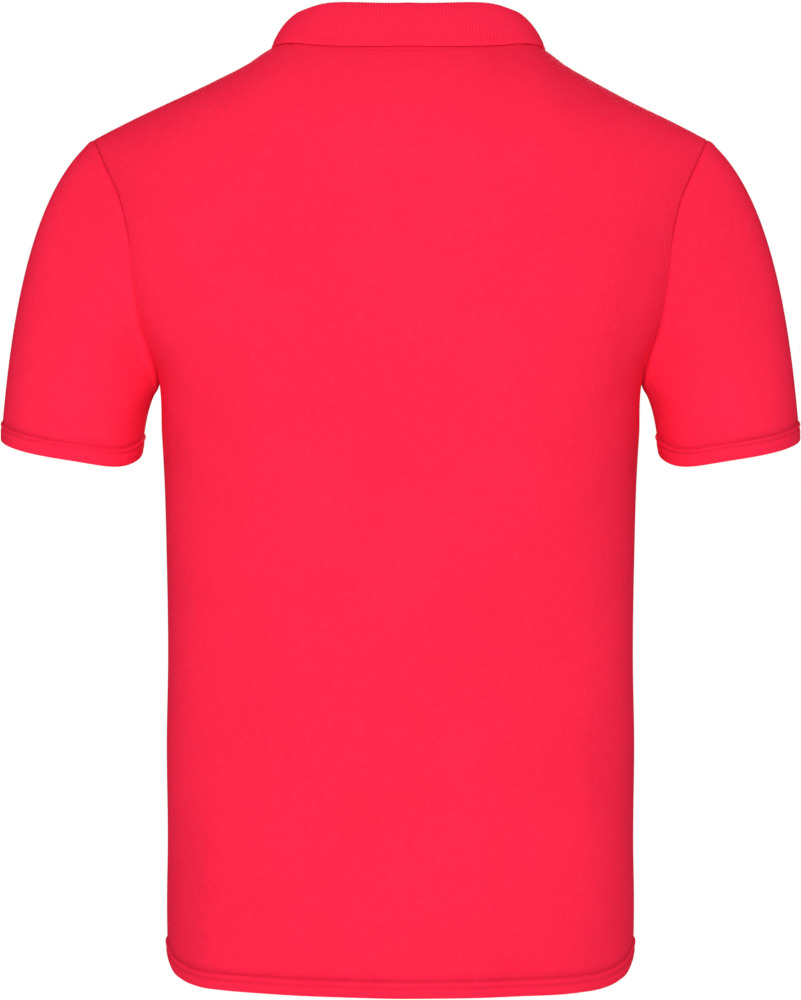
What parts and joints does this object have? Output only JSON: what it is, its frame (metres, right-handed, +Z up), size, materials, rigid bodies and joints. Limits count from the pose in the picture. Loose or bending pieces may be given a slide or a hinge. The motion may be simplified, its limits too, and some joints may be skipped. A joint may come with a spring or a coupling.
{
  "type": "pique polo shirt",
  "caption": "Short-sleeved pique polo shirt, filled out and hollow as worn, with a folded rib-knit collar and a buttoned placket.",
  "frame": {"origin": "middle of the neck opening, level with the high shoulder points, where the wearer's shoulders hold the shirt up", "axes": "+Z up, +Y out of the back, -Y out of the front, +X towards the wearer's left sleeve"},
  "size_m": [0.6252, 0.2645, 0.7542],
  "materials": {
    "pique": "matt cotton pique knit in bright coral red, soft sheen at grazing angles",
    "rib_knit": "matt flat-knit rib in the body's colour",
    "button": "semi-gloss dyed resin in the body's colour"
  },
  "bodies": {
    "root": {"back": "pique", "front": "pique", "sleeve_left": "pique", "sleeve_right": "pique", "collar": "rib_knit", "placket_upper": "pique", "placket_under": "pique", "button_1": "button", "button_2": "button", "button_3": "button"}
  },
  "joints": []
}
